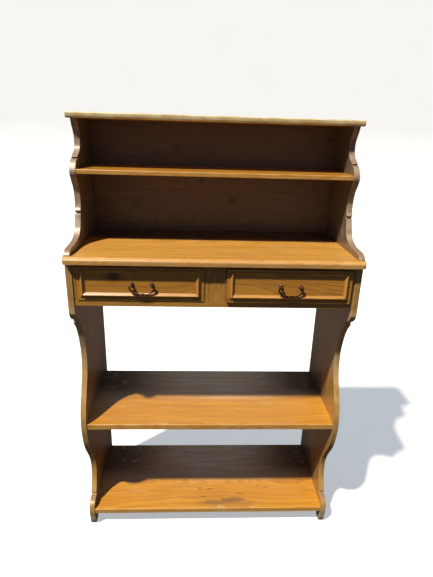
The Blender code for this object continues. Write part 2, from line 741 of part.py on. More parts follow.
def post(name, x, outward, panel):
    """A turned post: shank, rose, neck and ball, with a blind bore for one end of the bail."""
    base = BAIL_AXIS_DEPTH - PANEL_FRONT - GAP
    shank_end = -base - PANEL_THICKNESS - NUT_THICKNESS - SHANK_SPARE
    join = -math.acos(POST_NECK / POST_BALL)
    ball = []
    for step in range(1, BALL_STEPS + 1):
        angle = math.pi / 2 + (join - math.pi / 2) * step / BALL_STEPS
        ball.append((POST_BALL * math.cos(angle), POST_BALL * math.sin(angle)))
    profile = [
        (0.0, POST_BALL),
        *ball,
        *((radius, height - base) for radius, height in POST_FOOT),
        (SHANK_RADIUS, -base),
        (SHANK_RADIUS, shank_end),
        (0.0, shank_end),
    ]
    mesh = bpy.data.meshes.new(name)
    shape = bmesh.new()
    rings = [shape.verts.new((radius, 0, height)) for radius, height in profile]
    for first, second in zip(rings, rings[1:]):
        shape.edges.new((first, second))
    shape.to_mesh(mesh)
    shape.free()
    centre = Vector((x, y_at(BAIL_AXIS_DEPTH), BAIL_AXIS_Z))
    obj = link(name, mesh, centre)
    obj.rotation_euler = (math.pi / 2, 0, 0)
    turned = obj.modifiers.new("turned", "SCREW")
    turned.steps = 14
    turned.render_steps = 14
    turned.use_merge_vertices = True
    turned.merge_threshold = 0.00001
    turned.use_smooth_shade = True
    length = 2 * POST_BALL
    bore_x = x + outward * (BAIL_HALF[0][0] - POST_HALF_SPACING - GAP + length / 2)
    bore = rod(f"cut_{name}_bore", BAIL_PIN + GAP, length, (bore_x, *centre.yz), "X", 12)
    cut(obj, as_cutter(bore))
    paint(obj, ANTIQUE_BRONZE, 0.4, 1.0)
    shank_centre = (x, y_at(PANEL_FRONT - PANEL_THICKNESS / 2), BAIL_AXIS_Z)
    hole = rod(
        f"cut_{name}_hole", SHANK_RADIUS + GAP, 2 * PANEL_THICKNESS, shank_centre, "Y", 12
    )
    cut(panel, as_cutter(hole))
    nut = rod(
        name.replace("post", "nut"),
        NUT_RADIUS,
        NUT_THICKNESS,
        (x, y_at(PANEL_BACK - GAP - NUT_THICKNESS / 2), BAIL_AXIS_Z),
        "Y",
        6,
    )
    cut(nut, hole)
    paint(nut, STEEL_GREY, 0.45, 1.0)


def bail(name, x):
    curve = bpy.data.curves.new(name, "CURVE")
    curve.dimensions = "3D"
    curve.bevel_depth = BAIL_WIRE
    curve.bevel_resolution = 1
    curve.resolution_u = 3
    curve.use_fill_caps = True
    route = [(-out, down, thick) for out, down, thick in BAIL_HALF[:-1]]
    route += list(reversed(BAIL_HALF))
    spline = curve.splines.new("BEZIER")
    spline.bezier_points.add(len(route) - 1)
    for knot, (out, down, thick) in zip(spline.bezier_points, route):
        knot.co = (out, 0, down)
        knot.handle_left_type = "AUTO"
        knot.handle_right_type = "AUTO"
        knot.radius = thick / BAIL_WIRE
    obj = link(name, curve, (x, y_at(BAIL_AXIS_DEPTH), BAIL_AXIS_Z))
    bpy.context.view_layer.update()
    paint(smooth(curve_to_mesh(obj)), ANTIQUE_BRONZE, 0.35, 1.0)


def handle(place, x, panel):
    for end, outward in {"left": -1, "right": 1}.items():
        post(f"handle_{place}_post_{end}", x + outward * POST_HALF_SPACING, outward, panel)
    bail(f"handle_{place}_bail", x)


def main():
    board = worktop()
    for side in ("left", "right"):
        side_dowels(side, lower_side(side), upper_side(side), board)
    paint(board, PINE_FACE)
    top_board()
    back_boards()
    shelf("upper_shelf", UPPER_SHELF, BACK_THICKNESS + GAP)
    shelf("middle_shelf", MIDDLE_SHELF, 0.0)
    shelf("bottom_shelf", BOTTOM_SHELF, 0.0)
    drawer_case()
    for place, edges in DRAWER_EDGES.items():
        drawer(place, edges)


main()
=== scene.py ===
"""The looks of a scroll-sided pine stand: worn waxed boards, moulded drawers and bronze handles.

Every board is refined from its solid in the frame: its arrises are rounded and worn, and its pine
is a solid texture, the rings of the log that it was sawn from, bent round its knots.
"""

import itertools
import json
import math

import bmesh
import bpy
from mathutils import Matrix, Vector, noise

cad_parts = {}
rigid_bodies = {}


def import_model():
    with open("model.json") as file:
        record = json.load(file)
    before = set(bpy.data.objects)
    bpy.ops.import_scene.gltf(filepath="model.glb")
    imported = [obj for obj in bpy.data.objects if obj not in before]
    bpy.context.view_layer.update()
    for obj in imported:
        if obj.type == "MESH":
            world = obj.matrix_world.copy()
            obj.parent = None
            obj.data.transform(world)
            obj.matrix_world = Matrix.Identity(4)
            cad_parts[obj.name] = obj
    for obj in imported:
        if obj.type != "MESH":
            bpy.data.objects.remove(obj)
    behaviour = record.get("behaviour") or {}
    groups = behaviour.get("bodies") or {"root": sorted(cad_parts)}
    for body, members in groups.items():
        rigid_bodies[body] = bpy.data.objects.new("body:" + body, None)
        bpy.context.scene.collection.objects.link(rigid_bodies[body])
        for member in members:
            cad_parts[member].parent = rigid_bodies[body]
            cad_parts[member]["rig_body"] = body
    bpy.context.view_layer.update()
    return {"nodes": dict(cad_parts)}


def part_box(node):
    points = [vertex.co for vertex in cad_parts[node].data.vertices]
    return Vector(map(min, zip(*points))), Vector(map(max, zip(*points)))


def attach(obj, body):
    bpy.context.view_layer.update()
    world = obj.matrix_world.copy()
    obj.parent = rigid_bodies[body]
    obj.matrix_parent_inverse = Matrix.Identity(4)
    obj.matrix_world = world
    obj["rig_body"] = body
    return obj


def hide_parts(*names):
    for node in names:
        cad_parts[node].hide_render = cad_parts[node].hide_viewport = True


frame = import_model()

# Camera: where it stands, how it is turned, and its lens
CAMERA_PLACE = Vector((-0.0601, -1.5053, 1.5085))
CAMERA_YAW = 0.0479
CAMERA_PITCH = -0.3469
CAMERA_ROLL = 0.0292
CAMERA_LENS = 27.105

# Light
SUN_DIRECTION = Vector((0.49, 0.42, -1.0))
SUN_STRENGTH = 4.6
SUN_ANGLE = math.radians(2.5)
SUN_COLOUR = (1.0, 0.93, 0.80)
SKY_COLOURS = (  # from straight down to straight up
    (0.00, (0.022, 0.020, 0.018)),
    (0.25, (0.050, 0.046, 0.040)),
    (0.46, (0.070, 0.070, 0.066)),
    (0.53, (0.088, 0.110, 0.134)),
    (0.70, (0.084, 0.109, 0.140)),
    (1.00, (0.060, 0.084, 0.117)),
)
SKY_BEHIND = 1.9  # how much brighter the sky is behind the stand than in front of it
SKY_TURN = (-0.2, 0.8)  # from the front part of the sky to the part behind the stand
BACKDROP_TOWARDS = Vector((0.08, 0.90, 0.42))  # the middle of the lit part of the backdrop
BACKDROP_EDGE = 0.955  # cosine of the angle from its middle to its edge
BACKDROP_GLOW = 3.0  # how much that part adds to the sky's strength
BACKDROP_COLOUR = (0.118, 0.102, 0.082)

# Floor and backdrop
FLOOR_HALF = 9.0
FLOOR_FRONT = -6.0
FLOOR_BACK = 3.2
FLOOR_RISE = 6.0
FLOOR_BEND = 1.6  # radius of the curve between the floor and the backdrop
FLOOR_STEPS = 16
FLOOR_CLOUDS = 3.0
FLOOR_TONES = ((0.80, 0.80, 0.80), (0.86, 0.86, 0.86))
FLOOR_ROUGHNESS = 0.9
FLOOR_GLOW = 0.45
FLOOR_GLOW_COLOUR = (0.93, 0.96, 1.0, 1.0)

# Arrises and their wear
ARRIS = 0.0012  # width of a rounded arris
ARRIS_LEAST = 0.0115  # how far both faces reach from an edge that is rounded
ARRIS_ANGLE = math.radians(30)
ARRIS_SEGMENTS = 3
WELD = 0.00002
FLAT_ANGLE = math.radians(0.2)
SLICE = 0.007  # length of the runs in which an arris wears
WEAR_DEPTH = 0.0007
WEAR_EVEN = 0.35  # the wear between the patches, in shares of the depth
WEAR_PATCHES = 26.0  # patches of wear in a metre
NICKS = 90.0  # nicks in a metre
NICK_LEAST = 0.25
NICK_DEPTH = 1.5

# Handles
POST_BALL = 0.0043
POST_BALL_END = math.radians(48)  # how far below its middle the ball runs into the neck
POST_BALL_STEPS = 12
POST_NECK = ((0.0024, 0.0056), (0.0023, 0.0052), (0.0025, 0.0047), (0.0030, 0.0042))
POST_ROSE = ((0.0042, 0.0038), (0.0058, 0.0036), (0.0060, 0.0030), (0.0052, 0.0025))
POST_PLATE = ((0.0066, 0.0022), (0.0071, 0.0014), (0.0071, 0.0003))
POST_SHANK = 0.0020
POST_FOOT = 0.0003  # gap under the rose
POST_REACH = 0.0072  # from the axis of the CAD post to its side
TURNED_SIDES = 28
POINT = 0.0001  # radius of the tip of a turned shape
BAIL_HALF = (  # from the tip of a pin to the middle of the grip: out, down and radius
    (0.0285, 0.0000, 0.0016),
    (0.0345, 0.0000, 0.0016),
    (0.0382, -0.0012, 0.0018),
    (0.0394, -0.0060, 0.0023),
    (0.0386, -0.0120, 0.0029),
    (0.0345, -0.0188, 0.0033),
    (0.0260, -0.0258, 0.0031),
    (0.0125, -0.0292, 0.0028),
    (0.0000, -0.0298, 0.0031),
)
BAIL_STEPS = 5
BAIL_SIDES = 16


# Node trees


class Nodes:
    """A material's node tree, with one short call for each kind of node."""

    def __init__(self, name):
        self.material = bpy.data.materials.new(name)
        self.material.use_nodes = True
        self.tree = self.material.node_tree
        self.tree.nodes.clear()
        self.shader = self.add("BsdfPrincipled")
        output = self.add("OutputMaterial")
        self.tree.links.new(self.shader.outputs[0], output.inputs[0])

    def add(self, kind, **settings):
        made = self.tree.nodes.new("ShaderNode" + kind)
        for key, value in settings.items():
            setattr(made, key, value)
        return made

    def put(self, socket, value):
        """Links a socket to another one, or gives it a number or a colour."""
        if isinstance(value, bpy.types.NodeSocket):
            self.tree.links.new(value, socket)
        elif socket.type == "RGBA" and len(value) == 3:
            socket.default_value = (*value, 1.0)
        else:
            socket.default_value = value

    def math(self, operation, *values, clamp=False):
        made = self.add("Math", operation=operation, use_clamp=clamp)
        for socket, value in zip(made.inputs, values):
            self.put(socket, value)
        return made.outputs[0]

    def times(self, *values):
        """The product of any number of values."""
        product = values[0]
        for value in values[1:]:
            product = self.math("MULTIPLY", product, value)
        return product

    def swing(self, value, amount):
        """A value around 0.5 turned into one around 0 that spans the amount."""
        return self.math("MULTIPLY_ADD", value, amount, -amount / 2)

    def size(self, value):
        return self.math("ABSOLUTE", value)

    def vector(self, operation, *values):
        made = self.add("VectorMath", operation=operation)
        for socket, value in zip(made.inputs, values):
            self.put(socket, value)
        return made.outputs["Value" if operation in ("LENGTH", "DISTANCE") else "Vector"]

    def combine(self, x, y, z):
        made = self.add("CombineXYZ")
        for socket, value in zip(made.inputs, (x, y, z)):
            self.put(socket, value)
        return made.outputs[0]

    def separate(self, vector):
        made = self.add("SeparateXYZ")
        self.put(made.inputs[0], vector)
        return made.outputs[:]

    def noise(self, place, scale, detail=2.0, roughness=0.5, distortion=0.0):
        """Noise around 0.5 at a place whose three coordinates are multiplied by the scale."""
        made = self.add("TexNoise")
        scaled = place
        if not isinstance(scale, (int, float)):
            scaled = self.vector("MULTIPLY", place, scale)
            scale = 1.0
        self.put(made.inputs["Vector"], scaled)
        self.put(made.inputs["Scale"], scale)
        self.put(made.inputs["Detail"], detail)
        self.put(made.inputs["Roughness"], roughness)
        self.put(made.inputs["Distortion"], distortion)
        return made

    def grain(self, place, kind, output=0):
        """One of the named noises."""
        return self.noise(place, *GRAINS[kind]).outputs[output]

    def cut(self, value, kind):
        """The patches that a noise makes where it passes a named pair of limits."""
        return self.step(value, *CUTS[kind])

    def step(self, value, low, high, start=0.0, end=1.0):
        """Goes smoothly from start, where the value is low, to end, where it is high."""
        made = self.add("MapRange", interpolation_type="SMOOTHSTEP")
        for socket, given in zip(made.inputs, (value, low, high, start, end)):
            self.put(socket, given)
        return made.outputs[0]

    def ramp(self, value, stops):
        """A colour ramp. Each stop is a place and a grey value or a colour with its alpha."""
        made = self.add("ValToRGB")
        elements = made.color_ramp.elements
        while len(elements) < len(stops):
            elements.new(0.5)
        for element, (place, colour) in zip(elements, stops):
            element.position = place
            grey = isinstance(colour, (int, float))
            element.color = (colour, colour, colour, 1.0) if grey else colour
        self.put(made.inputs[0], value)
        return made.outputs

    def mix(self, share, first, second, blend="MIX"):
        made = self.add("Mix", data_type="RGBA", blend_type=blend)
        self.put(made.inputs["Factor"], share)
        colours = [socket for socket in made.inputs if socket.type == "RGBA"]
        self.put(colours[0], first)
        self.put(colours[1], second)
        return next(socket for socket in made.outputs if socket.type == "RGBA")

    def bump(self, height, distance, strength=1.0, normal=None):
        made = self.add("Bump")
        self.put(made.inputs["Height"], height)
        self.put(made.inputs["Distance"], distance)
        self.put(made.inputs["Strength"], strength)
        if normal is not None:
            self.put(made.inputs["Normal"], normal)
        return made.outputs[0]


# Pine

# The tones of each kind of board: its early and late wood, its rubbed places and its end grain, the
# dirt that it gathers, which also serves as painted shade in corners and towards the back, how
# strong its knots are, how dull it is, how much wax and how much wear
PINE_LOOKS = {
    "honey": {
        "early": (0.72, 0.325, 0.030),
        "late": (0.44, 0.155, 0.014),
        "worn": (0.76, 0.49, 0.19),
        "end": (0.30, 0.13, 0.035),
        "dirt_and_shade": (0.090, 0.056, 0.034),
        "knots": 0.9,
        "roughness": 0.34,
        "coat": 0.60,
        "wear": 0.45,
    },
    "cap": {
        "early": (0.72, 0.38, 0.070),
        "late": (0.46, 0.190, 0.030),
        "worn": (0.86, 0.72, 0.42),
        "end": (0.34, 0.17, 0.06),
        "dirt_and_shade": (0.090, 0.056, 0.034),
        "knots": 0.9,
        "roughness": 0.40,
        "coat": 0.40,
        "wear": 0.95,
    },
    "worktop": {
        "early": (0.75, 0.385, 0.070),
        "late": (0.48, 0.185, 0.026),
        "worn": (0.58, 0.33, 0.125),
        "end": (0.34, 0.17, 0.06),
        "dirt_and_shade": (0.050, 0.034, 0.022),
        "knots": 0.9,
        "roughness": 0.40,
        "coat": 0.30,
        "wear": 0.75,
    },
    "side": {
        "early": (0.45, 0.235, 0.050),
        "late": (0.26, 0.115, 0.022),
        "worn": (0.60, 0.37, 0.12),
        "end": (0.30, 0.17, 0.08),
        "dirt_and_shade": (0.085, 0.058, 0.036),
        "knots": 0.9,
        "roughness": 0.42,
        "coat": 0.60,
        "wear": 0.75,
    },
    # Darker and greyer than the lower sides: painted shade of the upper bay, with the outer faces
    # tinted warmer in upright_shade
    "upright": {
        "early": (0.200, 0.152, 0.102),
        "late": (0.112, 0.082, 0.054),
        "worn": (0.52, 0.375, 0.265),
        "end": (0.30, 0.17, 0.08),
        "dirt_and_shade": (0.095, 0.082, 0.068),
        "knots": 0.9,
        "roughness": 0.45,
        "coat": 0.50,
        "wear": 0.95,
    },
    # Darker and greyer than the other boards, partly as painted shade deep in the bays
    "back": {
        "early": (0.175, 0.115, 0.064),
        "late": (0.100, 0.060, 0.033),
        "worn": (0.26, 0.17, 0.10),
        "end": (0.16, 0.08, 0.03),
        "dirt_and_shade": (0.055, 0.038, 0.026),
        "knots": 0.55,
        "roughness": 0.50,
        "coat": 0.35,
        "wear": 0.4,
    },
    "front": {
        "early": (0.66, 0.305, 0.040),
        "late": (0.36, 0.125, 0.012),
        "worn": (0.48, 0.25, 0.08),
        "end": (0.30, 0.14, 0.05),
        "dirt_and_shade": (0.090, 0.052, 0.024),
        "knots": 0.9,
        "roughness": 0.38,
        "coat": 0.50,
        "wear": 0.45,
    },
    "frieze": {
        "early": (0.61, 0.298, 0.056),
        "late": (0.36, 0.130, 0.014),
        "worn": (0.58, 0.33, 0.10),
        "end": (0.30, 0.14, 0.05),
        "dirt_and_shade": (0.090, 0.052, 0.024),
        "knots": 0.9,
        "roughness": 0.40,
        "coat": 0.50,
        "wear": 0.40,
    },
    "raw": {
        "early": (0.62, 0.43, 0.23),
        "late": (0.47, 0.27, 0.11),
        "worn": (0.60, 0.44, 0.27),
        "end": (0.44, 0.29, 0.15),
        "dirt_and_shade": (0.20, 0.14, 0.08),
        "knots": 0.9,
        "roughness": 0.68,
        "coat": 0.0,
        "wear": 0.3,
    },
}

# Noises: how often each one changes in a metre along the grain, across it and through the board, or
# along the three axes of a metal piece, then its detail, its roughness and its distortion
GRAINS = {
    "drift": ((1.7, 0.0, 0.0), 2.0, 0.5, 0.0),
    "uneven": ((2.6, 22.0, 22.0), 2.0, 0.5, 0.0),
    "fine": ((9.0, 420.0, 420.0), 3.0, 0.6, 0.0),
    "cloud": ((2.2, 6.0, 6.0), 3.0, 0.55, 0.0),
    "patch": ((11.0, 30.0, 30.0), 4.0, 0.6, 0.0),
    "streak": ((2.6, 95.0, 95.0), 3.0, 0.7, 0.0),
    "scratch": ((30.0, 120.0, 120.0), 4.0, 0.7, 0.0),
    "knot_rim": ((90.0, 90.0, 90.0), 2.0, 0.5, 0.0),
    "arris": ((16.0, 40.0, 40.0), 3.0, 0.6, 0.0),
    "shade_rag": ((7.0, 24.0, 24.0), 4.0, 0.6, 0.0),
    "spill": ((22.0, 90.0, 90.0), 5.0, 0.7, 0.0),
    "chip": ((160.0, 160.0, 160.0), 3.0, 0.6, 0.0),
    "scuff": ((5.0, 60.0, 60.0), 4.0, 0.65, 0.0),
    "swirl": ((16.0, 26.0, 26.0), 5.0, 0.65, 1.2),
    "side_rag": ((9.0, 28.0, 28.0), 4.0, 0.65, 0.0),
    "rubbed_metal": ((130.0, 130.0, 130.0), 4.0, 0.65, 0.0),
    "tarnish": ((420.0, 420.0, 420.0), 3.0, 0.6, 0.0),
    "cloudy_zinc": ((300.0, 300.0, 300.0), 3.0, 0.5, 0.0),
    "rust": ((900.0, 900.0, 900.0), 4.0, 0.5, 0.0),
}
CUTS = {  # where a noise turns into patches, from none to full
    "group": (0.30, 0.70),
    "rubbed_streak": (0.52, 0.64),
    "rubbed_patch": (0.46, 0.60),
    "dirty_streak": (0.46, 0.34),
    "dirty_patch": (0.54, 0.42),
    "scratch": (0.60, 0.72),
    "scuff": (0.42, 0.62),
    "swirl": (0.56, 0.66),
    "chip": (0.52, 0.58),
    "rubbed_metal": (0.46, 0.62),
    "proud_metal": (0.50, 0.62),
    "tarnish": (0.50, 0.68),
    "rust": (0.60, 0.68),
}
SEED_STRIDE = 1.37  # how far along the grain one seed lies from the next

# Rings
RING_SPACING = 0.0042
RING_TONE = (  # how late the wood is from the inside of a ring to its outside
    (0.0, 0.10),
    (0.30, 0.0),
    (0.80, 0.85),
    (0.93, 1.0),
    (1.0, 0.10),
)
RING_FUZZ = 0.35  # how much the fine grain frays a ring, in rings
RING_GROUPS = 75.0  # how often dark and pale groups of rings change in a metre
PITH_DRIFT = (0.12, 0.10)  # how far the pith wanders across and through the board
RING_BEND = 0.011
KNOT_SWELL = 0.013  # how far a knot pushes the rings aside
KNOT_SWELL_REACH = (0.4, 3.8)  # in radii of the knot
KNOT_STRETCH = 1.35
KNOT_SHAKE = 0.005
KNOT_SPAN = 3.2  # the radii of the knot that its tones reach
KNOT_CORE = 0.33  # these three in shares of the late wood's tone
KNOT_BARK = 0.10
KNOT_HALO = 0.75

# What darkens the wood, in shares of its late tone
LATE_SHARE = 0.20
LATE_SHARE_IN_GROUP = 0.55
GROUP_SHARE = 0.28
CLOUD_SWING = 0.9
PATCH_SWING = 0.5
STREAK_SWING = 1.5
DIRT_SHARE = 0.30
SCRATCH_SHARE = 0.22
SCRATCH_TONE = 0.4
FINE_TINT = (0.42, 0.79)  # how much the fine grain tints the colour, and its least tint

# The surface
GLOSS_SWING = 0.34
SCRATCH_DULLNESS = 0.12
COAT_ROUGHNESS = 0.34
SPECULAR = 0.8
SWELL_HEIGHT = 0.004
SWELL_STRENGTH = 0.35
LATE_HEIGHT = 0.5  # how far late wood stands out, in shares of the fine grain
GRAIN_HEIGHT = 0.00035
GRAIN_STRENGTH = 0.6

# Marks on the bottom shelf: centre and half size along and across it, and how dark they are
STAINS = (
    ((0.095, -0.121), (0.050, 0.012), 0.75),
    ((0.030, -0.134), (0.060, 0.012), 0.45),
    ((0.075, -0.140), (0.110, 0.020), 0.30),
    ((-0.010, -0.105), (0.060, 0.030), 0.12),
)
STAIN_COLOUR = (0.200, 0.105, 0.045)
BLOTCH_RAGGED = 1.6
BLOTCH_EDGE = 0.35  # how softly a blotch ends, in shares of its size
DENTS = (
    ((-0.0361, -0.0606), (0.0040, 0.0060)),
    ((-0.0217, -0.1037), (0.0130, 0.0028)),
    ((0.0063, -0.0638), (0.0110, 0.0030)),
    ((0.1274, -0.0894), (0.0200, 0.0020)),
    ((0.2131, -0.0465), (0.0120, 0.0026)),
    ((0.2421, -0.0552), (0.0140, 0.0022)),
    ((0.0545, -0.1176), (0.0050, 0.0040)),
)
DENT_SHARE = 0.60
DENT_COLOUR = (0.10, 0.050, 0.020)
CHIPS = (((0.0480, -0.1590), (0.0200, 0.0140)), ((0.1750, -0.1600), (0.0120, 0.0080)))
CHIP_SHARE = 0.85
CHIP_COLOUR = (0.74, 0.56, 0.30)

# Painted shade and sheen on the shelves, with pale scuffs and swirls: where they run, and how strong
# they are
SHELF_DEPTHS = (-0.05, 0.09)  # from the front to the back, where the painted shade and sheen are full
SHELF_MIDDLE = 0.03
SHELF_MIDDLE_HALF = (0.05, 0.34)  # where the scuffs and painted sheen of the middle begin to thin out and end
SHELF_ENDS = (0.08, 0.40)  # where the painted shade of the ends begins and is full
SHELF_END_SHADE_SHARE = 0.85
SHELF_COAT = (0.65, -0.62)  # the wax away from the ends, and what the darkened ends add to it
SHELF_SPECULAR = (0.80, -0.75)
# Pale scuffs in the middle towards the back, which also paint the sheen there
SCUFF_AND_SHEEN_COLOUR = (0.72, 0.58, 0.44)
SCUFF_AND_SHEEN_SHARES = (0.6, 0.2)
SWIRL_COLOUR = (0.66, 0.55, 0.44)
SWIRL_SHARE = 0.35

# Painted light and shade on the sides, and dust at the feet: heights, depths and strengths
OUTER_FACE = (0.4735, 0.4748)  # from the board's inside to its outer face, off the middle plane
UPRIGHT_DEPTHS = (-0.02, 0.08)
UPRIGHT_SHADE_SHARE = 0.55
# lifts the outer faces out of the upright look's painted shade
UPRIGHT_OUTER_TINT = (2.9, 2.0, 1.0)
SIDE_DEPTHS = (-0.14, 0.06)
# A pale haze high on the insides of the lower sides, painted in for bounced light and sheen
SIDE_GLOW_HEIGHTS = (0.58, 0.84)
SIDE_GLOW_TOP = (0.955, 0.965)  # the painted glow ends under the drawers
SIDE_GLOW_SHARE = 1.2
SIDE_GLOW_COLOUR = (0.60, 0.44, 0.28)
# Corners above the shelves darkened: painted shade
CORNER_HEIGHTS = (0.08, 0.49)  # about the tops of the shelves
CORNER_REACH = (0.02, 0.15)  # from full painted shade to none above a shelf
CORNER_LIP = 0.01
CORNER_SHARE = 0.8
FOOT_HEIGHTS = (0.03, 0.09)
FOOT_SHARE = 0.75
FOOT_COLOUR = (0.58, 0.49, 0.37)
SIDE_RAGGED = 0.10

# Painted shade along the back of the worktop
WORKTOP_DEPTHS = (0.02, 0.10)
WORKTOP_SHADE_SHARE = 0.92
SHADE_RAGGED = 0.05

# Wear of edges: limits of how squarely a face looks through the board or along the grain
NARROW_FACES = (0.25, 0.93)
ARRIS_FACES = (0.20, 0.45, 0.90, 0.99)
# Arrises brighter than the worn tone: wear, and a painted highlight along them
ARRIS_WORN_HIGHLIGHT = 1.25
ARRIS_WORN_HIGHLIGHT_LIMIT = 0.95
ARRIS_PATCHES = (0.36, 0.60, 0.35, 1.0)  # the noise from and to, and the wear that it gives
END_FACES = (0.80, 0.97)
END_SHARE = 0.75


def grain_place(n, axes, seed):
    """Coordinates of the piece's own point: along the grain, across it and through the board."""
    place = n.add("TexCoord")
    parts = dict(zip("xyz", n.separate(place.outputs["Object"])))
    facing = dict(zip("xyz", n.separate(place.outputs["Normal"])))
    along, across, through = (parts[axis] for axis in axes)
    shifted = n.combine(n.math("ADD", along, seed * SEED_STRIDE), across, through)
    normal = [n.size(facing[axis]) for axis in axes]
    return (along, across, through), shifted, normal


def nearest_knot(n, parts, shifted, knots):
    """Distance to the nearest knot in radii of that knot, or None for a clear board."""
    if not knots:
        return None
    along, across, _ = parts
    ragged = n.grain(shifted, "knot_rim", "Color")
    shake = n.vector("SCALE", n.vector("SUBTRACT", ragged, (0.5, 0.5, 0.5)))
    shake.node.inputs["Scale"].default_value = KNOT_SHAKE
    flat = n.combine(n.math("DIVIDE", along, KNOT_STRETCH), across, 0.0)
    place = n.vector("ADD", flat, shake)
    nearest = None
    for centre, side, radius in knots:
        gap = n.vector("DISTANCE", place, (centre / KNOT_STRETCH, side, 0.0))
        gap = n.math("DIVIDE", gap, radius)
        nearest = gap if nearest is None else n.math("MINIMUM", nearest, gap)
    return nearest


def ring_distance(n, parts, shifted, pith, knot_gap):
    """Distance from the log's pith, which wanders along the board, bent round the knots."""
    _, across, through = parts
    drift_across, drift_through, _ = n.separate(n.grain(shifted, "drift", "Color"))
    side = n.math("SUBTRACT", across, pith[0])
    side = n.math("ADD", side, n.swing(drift_across, PITH_DRIFT[0]))
    depth = n.math("SUBTRACT", through, pith[1])
    depth = n.math("ADD", depth, n.swing(drift_through, PITH_DRIFT[1]))
    radius = n.vector("LENGTH", n.combine(side, depth, 0.0))
    radius = n.math("ADD", radius, n.times(n.grain(shifted, "uneven"), RING_BEND))
    if knot_gap is not None:
        radius = n.math("ADD", radius, n.step(knot_gap, *KNOT_SWELL_REACH, KNOT_SWELL, 0.0))
    return radius


def late_wood(n, radius, fine):
    """How late the wood is at a distance from the pith."""
    turns = n.math("DIVIDE", radius, RING_SPACING)
    turns = n.math("ADD", turns, n.times(fine, RING_FUZZ))
    return n.ramp(n.math("FRACT", turns), RING_TONE)[0]


def wood_colour(n, tones, late, group, shifted, fine, cloud, patch):
    """The colour of clear wood with its rubbed and its dirty patches."""
    streak = n.grain(shifted, "streak")
    share = n.times(late, n.math("MULTIPLY_ADD", group, LATE_SHARE_IN_GROUP, LATE_SHARE))
    share = n.math("ADD", share, n.times(group, GROUP_SHARE))
    share = n.math("ADD", share, n.swing(cloud, CLOUD_SWING))
    share = n.math("ADD", share, n.swing(patch, PATCH_SWING))
    share = n.math("ADD", share, n.swing(streak, STREAK_SWING), clamp=True)
    colour = n.mix(share, tones["early"], tones["late"])
    rubbed = n.times(n.cut(streak, "rubbed_streak"), n.cut(patch, "rubbed_patch"))
    colour = n.mix(n.times(rubbed, tones["wear"]), colour, tones["worn"])
    dirty = n.times(n.cut(streak, "dirty_streak"), n.cut(patch, "dirty_patch"))
    colour = n.mix(n.times(dirty, DIRT_SHARE), colour, tones["dirt_and_shade"])
    tint = n.math("MULTIPLY_ADD", fine, *FINE_TINT)
    return n.mix(1.0, colour, n.combine(tint, tint, tint), "MULTIPLY")


def knotted(n, tones, knot_gap, colour):
    """Adds the knots' dark hearts, their bark and the darker wood round them."""
    core = darker(tones["late"], KNOT_CORE)
    bark = darker(tones["late"], KNOT_BARK)
    halo = darker(tones["late"], KNOT_HALO)
    stops = (
        (0.0, (*bark, 1.0)),
        (0.14, (*core, 1.0)),
        (0.24, (*core, 0.95)),
        (0.31, (*bark, 0.8)),
        (0.42, (*halo, 0.5)),
        (0.85, (*halo, 0.0)),
    )
    knot, share = n.ramp(n.math("DIVIDE", knot_gap, KNOT_SPAN), stops)
    return n.mix(n.times(share, tones["knots"]), colour, knot)


def darker(colour, share):
    return tuple(share * value for value in colour)


def pine(name, look, axes, seed, pith, knots=(), stain=None):
    """Pine as a solid texture. axes names the grain's axis, the one across it and the one
    through the board. pith is the log's centre across and through. A knot is its place along
    and across the grain and its radius. stain adds the marks of this one board."""
    tones = PINE_LOOKS[look]
    n = Nodes(name)
    parts, shifted, facing = grain_place(n, axes, seed)
    knot_gap = nearest_knot(n, parts, shifted, knots)
    radius = ring_distance(n, parts, shifted, pith, knot_gap)
    fine = n.grain(shifted, "fine")
    cloud = n.grain(shifted, "cloud")
    patch = n.grain(shifted, "patch")
    late = late_wood(n, radius, fine)
    across_groups = n.combine(n.times(radius, RING_GROUPS), seed, 0.0)
    group = n.noise(across_groups, 1.0, detail=3.0, roughness=0.65)
    group = n.cut(group.outputs[0], "group")

    colour = wood_colour(n, tones, late, group, shifted, fine, cloud, patch)
    if knot_gap is not None:
        colour = knotted(n, tones, knot_gap, colour)
    colour = edge_wear(n, tones, facing, shifted, colour)
    if stain is not None:
        colour = stain(n, parts, shifted, colour, tones)
    scratches = n.cut(n.grain(shifted, "scratch"), "scratch")
    scratched = darker(tones["late"], SCRATCH_TONE)
    colour = n.mix(n.times(scratches, SCRATCH_SHARE), colour, scratched)
    n.put(n.shader.inputs["Base Color"], colour)

    gloss = n.math("MULTIPLY_ADD", patch, GLOSS_SWING, tones["roughness"] - GLOSS_SWING / 2)
    gloss = n.math("ADD", gloss, n.times(scratches, SCRATCH_DULLNESS), clamp=True)
    n.put(n.shader.inputs["Roughness"], gloss)
    n.shader.inputs["Coat Weight"].default_value = tones["coat"]
    n.shader.inputs["Coat Roughness"].default_value = COAT_ROUGHNESS
    n.shader.inputs["Specular IOR Level"].default_value = SPECULAR
    swell = n.bump(cloud, SWELL_HEIGHT, SWELL_STRENGTH)
    height = n.math("MULTIPLY_ADD", late, LATE_HEIGHT, fine)
    n.put(n.shader.inputs["Normal"], n.bump(height, GRAIN_HEIGHT, GRAIN_STRENGTH, swell))
    return n.material


